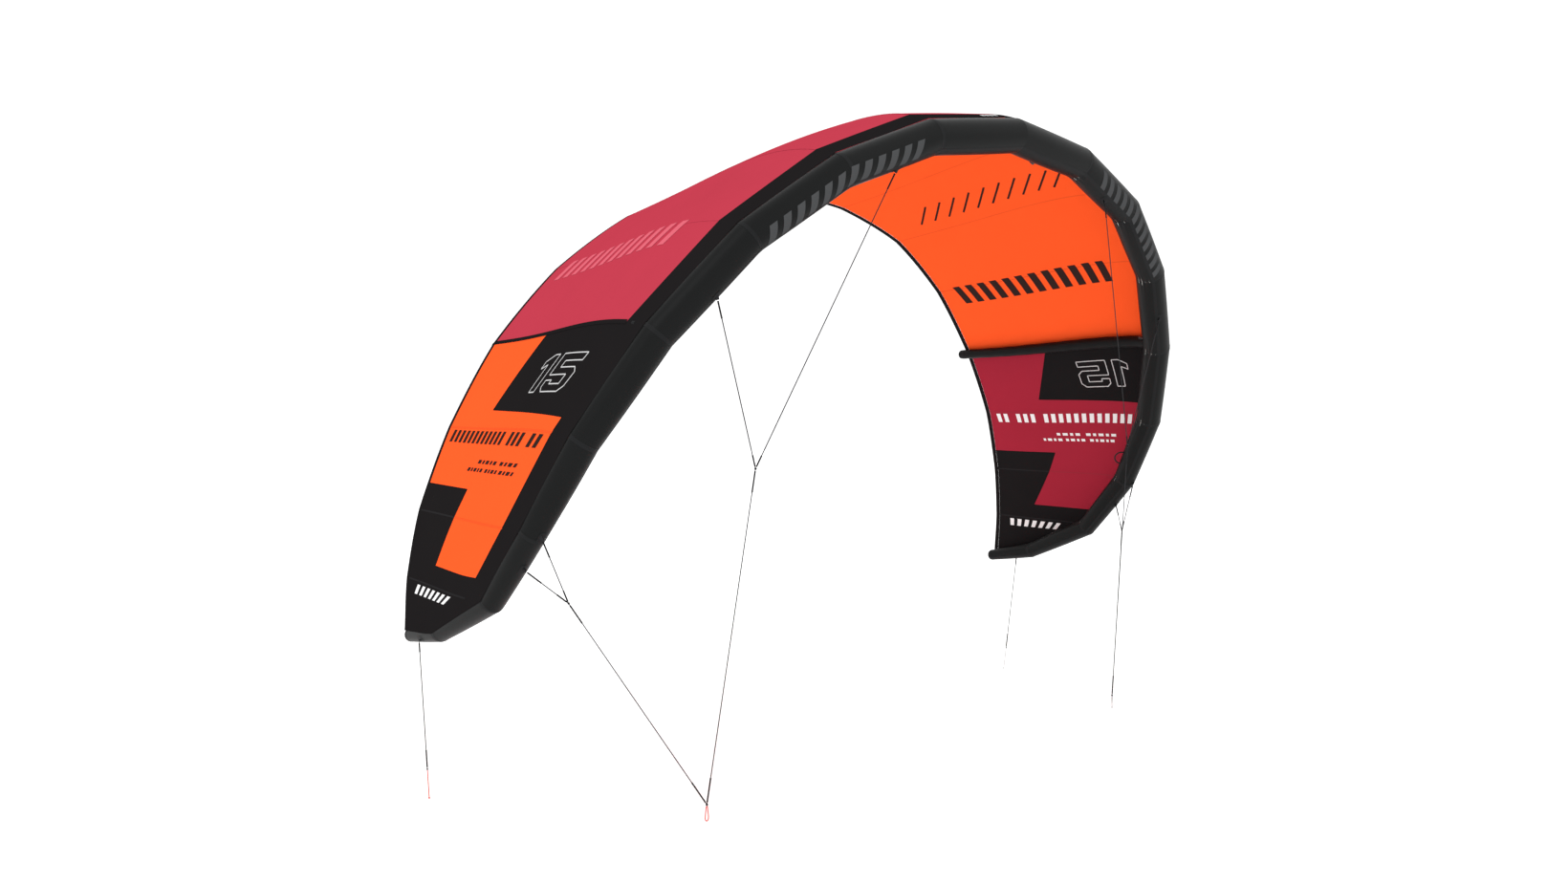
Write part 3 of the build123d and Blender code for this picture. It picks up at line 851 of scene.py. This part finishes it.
# ---- leading-edge tube
def tube_skin(place, angle, lift=0.0):
    """The inflated casing: puffed a little between the seams and wrinkled inside each bend."""
    joint = min(int(place), LAST_JOINT)
    part = place - joint
    puff = PUFF * (4 * part * (1 - part)) - PUFF_SINK
    for number in (joint, joint + 1):
        if not 0 < number <= LAST_JOINT:
            continue
        distance = abs(place - number) * PANEL_LENGTHS[joint]
        turn = math.radians(angle - BEND_ANGLES[number])
        squeezed = max(math.cos(turn), 0.0) ** 2
        fold = math.cos(22 * turn) + 0.6 * math.cos(35 * turn + number)
        fading = math.exp(-distance / WRINKLE_REACH)
        puff += squeezed * fold * BEND_SIZES[number] * fading * WRINKLE_DEPTH
        puff -= SEAM_DENT * math.exp(-(distance / SEAM_DENT_REACH) ** 2)
    return tube_point(place, angle, puff + lift)


BEND_ANGLES = [0] + [bend_angle(joint) for joint in range(1, LAST_JOINT + 1)]
BEND_SIZES = [0] + [panel_direction(joint).angle(panel_direction(joint - 1))
                    for joint in range(1, LAST_JOINT + 1)]


def panel_places(joint):
    """Places along one panel of the tube, closer together near its seams."""
    places = []
    for step in range(PANEL_ROWS):
        even = step / PANEL_ROWS
        places.append(joint + mix(even, 0.5 - 0.5 * math.cos(math.pi * even), 0.8))
    return places


def tube_angles(count):
    return [360 * step / count for step in range(count)]


def leading_edge(side_name):
    rows = []
    for joint in range(LAST_JOINT + 1):
        for place in panel_places(joint):
            rows.append([tube_skin(place, angle) for angle in tube_angles(TUBE_COLUMNS)])
    end = LAST_JOINT + 1
    tangent = joint_tangent(end)
    for tilt in spans(0, 84, 8):
        inward, forward = polar(tilt)
        ring = []
        for angle in tube_angles(TUBE_COLUMNS):
            radial = tube_ring(end, angle, 0) - JOINTS[end]
            pleat = math.cos(math.radians(16 * angle)) * math.sin(math.radians(2 * tilt))
            pucker = 1 + END_PUCKER * pleat
            ring.append(JOINTS[end] + radial * inward * pucker + tangent * (END_DOME * forward))
        rows.append(ring)
    name = f"leading_edge_tube_{side_name}"
    data = tube_mesh(name, rows, SIDES[side_name])
    close_end(data, TUBE_COLUMNS)
    piece = add_object(name, data, "tube")
    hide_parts(f"leading_edge_casing_{side_name}")


def close_end(data, count):
    """Close the last ring, of count points, with one face."""
    cap = bmesh.new()
    cap.from_mesh(data)
    cap.verts.ensure_lookup_table()
    cap.faces.new(cap.verts[-count:]).smooth = True
    bmesh.ops.recalc_face_normals(cap, faces=cap.faces)
    cap.to_mesh(data)
    cap.free()


def tube_tape(first, last, angles, lift, count):
    rows = []
    for place in spans(first, last, count):
        rows.append([tube_skin(place, angle, lift) for angle in angles])
    return rows


def tube_seams(side_name):
    """Seam tapes: one round the tube at each joint and two along it."""
    mesh = ([], [])
    for joint in range(1, LAST_JOINT + 2):
        half = TAPE_WIDTH / 2 / PANEL_LENGTHS[min(joint, LAST_JOINT)]
        low, high = joint - half, min(joint + half, LAST_JOINT + 1)
        add_rows(mesh, tube_tape(low, high, tube_angles(96), RING_TAPE_LIFT, 8), closed=True)
    for middle in LONG_SEAM_ANGLES:
        half = math.degrees(TAPE_WIDTH / 2 / TUBE_RADII[3])
        angles = spans(middle - half, middle + half, 4)
        add_rows(mesh, tube_tape(0, LAST_JOINT + 1, angles, LONG_TAPE_LIFT, 160))
    marks_object("tube_seam_tapes", mesh, side_name, "seam")


# ---- struts
def strut_ring(share, beyond, radius_share, lift=0.0):
    """A ring of the strut's casing; its top rises to the seam under the canopy."""
    radius = mix(*STRUT_RADII, share)
    direction = chord_vector(STRUT_JOINT).normalized()
    out = outward(STRUT_JOINT)
    out = (out - direction * out.dot(direction)).normalized()
    side = direction.cross(out)
    centre = strut_centre(share) + direction * beyond
    ring = []
    for angle in tube_angles(STRUT_COLUMNS):
        along, up = polar(angle)
        ridge = STRUT_RIDGE * math.exp(-((angle - 90) / STRUT_RIDGE_ANGLE) ** 2)
        if beyond > 0:
            ridge *= 0.3
        ring.append(centre + (side * along + out * up) * ((radius + lift + ridge) * radius_share))
    return ring


def strut(side_name):
    rows = []
    for step in range(61):
        share = mix(STRUT_START, 1.0, step / 60)
        puff = STRUT_PUFF * math.sin(10 * math.pi * step / 60) ** 2
        rows.append(strut_ring(share, 0.0, 1.0, puff))
    for tilt in spans(0, 84, 8):
        inward, forward = polar(tilt)
        rows.append(strut_ring(1.0, STRUT_OVERHANG + STRUT_RADII[1] * 0.68 * forward, inward))
    name = f"strut_tube_{side_name}"
    data = tube_mesh(name, rows, SIDES[side_name])
    close_end(data, STRUT_COLUMNS)
    piece = add_object(name, data, "tube")
    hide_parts(f"strut_casing_{side_name}", f"strut_bladder_{side_name}")

    mesh = ([], [])
    for low, high, lift in ((0.040, 0.052, 0.004), (0.052, 0.064, 0.0022), (0.985, 1.0, 0.0014)):
        rows = [strut_ring(share, 0.0, 1.0, lift) for share in spans(low, high, 4)]
        add_rows(mesh, rows, closed=True)
    marks_object("strut_collars", mesh, side_name, "seam")

    mesh = ([], [])
    route = [(STRUT_JOINT, share) for share in spans(band_share(STRUT_JOINT), 0.985, 60)]
    add_ribbon(mesh, route, STRUT_TAPE, STRUT_TAPE_LIFT)
    marks_object("strut_seam_tapes", mesh, side_name, "black")


# ---- lines and fittings
def swept_rows(points, radius, count=12):
    """Rings of a round section along points; radius is a number or a function of the share."""
    rows = []
    normal = None
    last = len(points) - 1
    for index, point in enumerate(points):
        along = (points[min(index + 1, last)] - points[max(index - 1, 0)]).normalized()
        if normal is None:
            normal = along.orthogonal().normalized()
        normal = (normal - along * normal.dot(along)).normalized()
        other = along.cross(normal)
        size = radius(index / last) if callable(radius) else radius
        ring = []
        for angle in tube_angles(count):
            across, up = polar(angle)
            ring.append(point + (normal * across + other * up) * size)
        rows.append(ring)
    return rows


def knot(name, centre, axis, radius, side_name, material, body):
    """A tight knot: a strand wound three times through itself round the line's axis."""
    strand = radius * 0.30
    wide = (radius - strand) * 0.72
    deep = (radius - strand) * 0.95
    side = axis.orthogonal().normalized()
    other = axis.cross(side)
    points = []
    for step in range(97):
        turn = 2 * math.pi * step / 96
        reach = wide * (1 + 0.38 * math.cos(3 * turn))
        points.append(centre + (side * math.cos(2 * turn) + other * math.sin(2 * turn)) * reach
                      + axis * (deep * math.sin(3 * turn) * 0.9))
    mesh = ([], [])
    add_rows(mesh, swept_rows(points, strand, 10), closed=True)
    return marks_object(name, mesh, side_name, material, body)


def line_curve(name, points, side_name, material, body):
    data = bpy.data.curves.new(name, "CURVE")
    data.dimensions = "3D"
    data.bevel_depth = LINE_DIAMETER / 2
    data.bevel_resolution = 3
    data.resolution_u = 16
    spline = data.splines.new("NURBS")
    spline.points.add(len(points) - 1)
    for target, point in zip(spline.points, side_of(points, SIDES[side_name])):
        target.co = (*point, 1)
    spline.order_u = 3
    spline.use_endpoint_u = True
    return add_object(f"{name}_{side_name}", data, material, body)


def upper_line(line):
    place, angle = TAB_PLACES[line]
    root, _ = panel_tab_root(place, angle)
    fork = INNER_FORK if line < 2 else OUTER_FORK
    direction = (fork - root).normalized()
    return root, root + direction * TAB_LENGTH, fork, direction


def sleeve_rows(mesh, start, direction, length):
    """A braided cover: a little fuller at its ends, where it is stitched."""
    points = [start + direction * (length * step / 14) for step in range(15)]

    def size(share):
        return SLEEVE_RADIUS * (1 + 0.10 * math.exp(-((min(share, 1 - share)) / 0.06) ** 2))

    rows = swept_rows(points, size)
    rows.insert(0, [mix(start, point, 0.45) for point in rows[0]])
    rows.append([mix(points[-1], point, 0.45) for point in rows[-1]])
    add_rows(mesh, rows, closed=True)


def line_sleeves(name, side_name, body, spots):
    """The two braided covers of one line, as one piece; spots are (start, direction, length)."""
    mesh = ([], [])
    for start, direction, length in spots:
        sleeve_rows(mesh, start, direction, length)
    return marks_object(name, mesh, side_name, "sleeve", body)


def front_bridle(side_name):
    for line in range(4):
        _, start, fork, direction = upper_line(line)
        points = spans(start, fork - direction * (KNOT_RADIUS + KNOT_GAP), LINE_RUNS)
        name = f"upper_line_{line + 1}"
        piece = line_curve(f"{name}_braid", points, side_name, "line", "airframe")
        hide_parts(f"{name}_{side_name}")
        covers = line_sleeves(f"{name}_sleeves", side_name, "airframe", (
            (start, direction, UPPER_SLEEVES[0]),
            (fork - direction * SLEEVE_START, -direction, UPPER_SLEEVES[1])))
        if line == 0:
            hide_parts(f"upper_sleeves_{side_name}")

    body = f"front_bridle_{side_name}"
    down = Vector((0, 0, -1))
    lowest = knot("bridle_knot_lowest", BRIDLE_POINT, down, KNOT_RADIUS, side_name, "sleeve", body)
    for name, fork in (("inner", INNER_FORK), ("outer", OUTER_FORK)):
        direction = (BRIDLE_POINT - fork).normalized()
        inset = direction * (KNOT_RADIUS - KNOT_GRIP)
        points = spans(fork + inset, BRIDLE_POINT - inset, LINE_RUNS)
        piece = line_curve(f"lower_line_{name}_braid", points, side_name, "line", body)
        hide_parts(f"lower_line_{name}_{side_name}")
        covers = line_sleeves(f"lower_line_{name}_sleeves", side_name, body, (
            (fork + direction * SLEEVE_START, direction, LOWER_SLEEVES[0]),
            (BRIDLE_POINT - direction * SLEEVE_START, -direction, LOWER_SLEEVES[1])))
        tied = [covers,
                knot(f"bridle_knot_{name}", fork, down, KNOT_RADIUS, side_name, "sleeve", body)]
        if name == "inner":
            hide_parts(f"lower_sleeves_{side_name}")
            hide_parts(f"bridle_knots_{side_name}")
            tied.append(lowest)


def front_pigtail(side_name, colour):
    half = LOOP_HALF_WIDTH
    top = KNOT_RADIUS + 0.0015
    outline = ((-LOOP_NECK, top), (-half * 0.8, LOOP_DEPTH * 0.45), (-half * 1.2, LOOP_DEPTH * 0.85),
               (-half * 0.5, LOOP_DEPTH), (half * 0.5, LOOP_DEPTH), (half * 1.2, LOOP_DEPTH * 0.85),
               (half * 0.8, LOOP_DEPTH * 0.45), (LOOP_NECK, top))
    points = [BRIDLE_POINT + Vector((side, 0, -down)) for side, down in outline]
    piece = line_curve("front_pigtail_braid", points, side_name, colour, f"front_pigtail_{side_name}")
    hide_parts(f"front_pigtail_{side_name}")


def rear_line(side_name, colour):
    root, radial = panel_tab_root(*REAR_TAB_PLACE)
    top = root + radial * (TAB_LENGTH / 2)
    joint = top + REAR_DIRECTION * REAR_LEADER
    end = joint + REAR_DIRECTION * REAR_PIGTAIL
    body = f"rear_leader_{side_name}"

    covers = line_sleeves("rear_sleeve_braids", side_name, body, (
        (top + REAR_DIRECTION * SLEEVE_START, REAR_DIRECTION, REAR_SLEEVES[0]),
        (joint - REAR_DIRECTION * SLEEVE_START, -REAR_DIRECTION, REAR_SLEEVES[1])))
    middle = knot("rear_leader_knot", joint, REAR_DIRECTION, SMALL_KNOT_RADIUS, side_name, "sleeve",
                  body)
    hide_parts(f"rear_leader_fittings_{side_name}")
    points = spans(top + REAR_DIRECTION * (SMALL_KNOT_RADIUS + KNOT_GAP),
                   joint - REAR_DIRECTION * (SMALL_KNOT_RADIUS - KNOT_GRIP), LINE_RUNS)
    piece = line_curve("rear_leader_braid", points, side_name, "line", body)
    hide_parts(f"rear_leader_{side_name}")

    body = f"rear_pigtail_{side_name}"
    stopper = knot("rear_stopper_knot_braid", end, REAR_DIRECTION, SMALL_KNOT_RADIUS, side_name,
                   colour, body)
    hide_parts(f"rear_stopper_knot_{side_name}")
    points = spans(joint + REAR_DIRECTION * (SMALL_KNOT_RADIUS + KNOT_GAP),
                   end - REAR_DIRECTION * (SMALL_KNOT_RADIUS - KNOT_GRIP), LINE_RUNS)
    piece = line_curve("rear_pigtail_braid", points, side_name, colour, body)
    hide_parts(f"rear_pigtail_{side_name}")


def webbing_loop(mesh, root, direction, side):
    """A folded strip of webbing: out from the tube, round the line's eye and back."""
    across = direction.cross(side).normalized()
    points = []
    for step in range(25):
        turn = math.pi * step / 24
        reach = TAB_LENGTH * 0.4536 * (1 + 1.1 * math.sin(turn)) - WEBBING_ROOT
        points.append(root + direction * reach + across * (WEBBING_LOOP * math.cos(turn)))
    foot = root - direction * WEBBING_ROOT
    points = [foot + across * WEBBING_LOOP] + points + [foot - across * WEBBING_LOOP]
    across_strip = [side * reach for reach in spans(-TAB_HALF_WIDTH, TAB_HALF_WIDTH, 4)]
    for offset in (WEBBING / 2, -WEBBING / 2):
        rows = []
        for point in points:
            push = (point - root - direction * TAB_LENGTH * 0.5).normalized() * offset
            rows.append([point + push + step for step in across_strip])
        add_rows(mesh, rows)


def tab_patch(mesh, place, angle):
    """The reinforcing patch of doubled cloth under a tab."""
    joint = min(int(place), LAST_JOINT)
    rows = []
    for step in range(13):
        reach = mix(-1, 1, step / 12)
        width = (1 - abs(reach) ** 4) ** 0.25
        spread = math.degrees(PATCH_HALF_WIDTH / TUBE_RADII[joint]) * max(width, 0.05)
        spot = place + reach * PATCH_HALF_LENGTH / PANEL_LENGTHS[joint]
        rows.append([tube_skin(spot, angle + part * spread, PATCH_LIFT) for part in spans(-1, 1, 8)])
    add_rows(mesh, rows)


def bridle_tabs(side_name):
    loops, patches = ([], []), ([], [])
    for line, (place, angle) in enumerate(TAB_PLACES):
        root, _, _, direction = upper_line(line)
        along = panel_direction(int(place))
        side = (along - direction * along.dot(direction)).normalized()
        webbing_loop(loops, root, direction, side)
        tab_patch(patches, place, angle)
    root, radial = panel_tab_root(*REAR_TAB_PLACE)
    along = panel_direction(LAST_JOINT)
    webbing_loop(loops, root - radial * (TAB_LENGTH / 2 - WEBBING_ROOT), radial, along)
    tab_patch(patches, *REAR_TAB_PLACE)
    piece = marks_object("bridle_tab_webbing", loops, side_name, "webbing")
    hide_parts(f"bridle_tabs_{side_name}")
    marks_object("bridle_tab_patches", patches, side_name, "seam")


# ---- carried-over pieces
def plain_nodes():
    """Moulded pieces of the frame keep their shape and get their finish."""
    finishes = (("valve", "plastic"), ("hose_clip", "plastic"), ("one_pump_hose", "rubber"),
                ("side_handle", "webbing"), ("bladder", "film"))
    for name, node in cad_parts.items():
        for part, material in finishes:
            if part in name:
                node.data.materials.clear()
                node.data.materials.append(MATERIALS[material])
                break


# ---- studio and camera
def studio():
    scene = bpy.context.scene
    world = bpy.data.worlds.new("studio")
    world.use_nodes = True
    background = world.node_tree.nodes["Background"]
    background.inputs["Color"].default_value = (1, 1, 1, 1)
    background.inputs["Strength"].default_value = WORLD_LIGHT
    scene.world = world
    scene.view_settings.view_transform = "Standard"

    low, high = CAD_BOX
    level = low[2] - FLOOR_CLEARANCE
    reach = 30
    corners = [(-reach, -reach, level), (reach, -reach, level), (reach, reach, level),
               (-reach, reach, level)]
    data = bpy.data.meshes.new("floor")
    data.from_pydata(corners, [], [(0, 1, 2, 3)])
    floor = bpy.data.objects.new("floor", data)
    scene.collection.objects.link(floor)
    material, _, shader = new_material("floor_white", (0.97, 0.97, 0.97), 0.9, Specular_IOR_Level=0.0)
    shader.inputs["Emission Color"].default_value = (1, 1, 1, 1)
    shader.inputs["Emission Strength"].default_value = 0.15
    data.materials.append(material)

    for name, turn, tilt, strength, angle in (("key", -75, 50, 0.5, 30), ("fill", 20, 60, 0.3, 60)):
        light = bpy.data.lights.new(name, "SUN")
        light.energy = strength
        light.angle = math.radians(angle)
        lamp = bpy.data.objects.new(name, light)
        lamp.rotation_euler = (math.radians(tilt), 0, math.radians(turn))
        scene.collection.objects.link(lamp)


def camera():
    data = bpy.data.cameras.new("camera")
    data.lens = CAMERA_LENS
    data.sensor_width = 36
    data.clip_end = 200
    eye = bpy.data.objects.new("camera", data)
    eye.location = CAMERA_PLACE
    eye.rotation_euler = (math.radians(90 - CAMERA_ELEVATION), 0, math.radians(CAMERA_AZIMUTH))
    bpy.context.scene.collection.objects.link(eye)
    bpy.context.scene.camera = eye


# ---- output
def main():
    studio()
    camera()
    looks = {
        # The right tip uses the darkened crimson, which is painted shade on both faces; its slot is the
        # crimson cloth's.
        "right": ("orange", "crimson_painted_shade", ("orange_canopy_cloth", "crimson_canopy_cloth"), "white"),
        "left": ("crimson", "orange", ("crimson_canopy_cloth", "orange_canopy_cloth"), "red"),
    }
    for side_name, (centre, tip, slots, pigtail) in looks.items():
        canopy(side_name, centre, tip, slots)
        hem(side_name)
        seam_tapes(side_name, centre + "_seam", tip + "_seam")
        block_edges(side_name)
        leading_edge(side_name)
        tube_seams(side_name)
        tube_bars(side_name)
        strut(side_name)
        bridle_tabs(side_name)
        front_bridle(side_name)
        front_pigtail(side_name, pigtail)
        rear_line(side_name, pigtail)
    printed_marks()
    plain_nodes()


main()
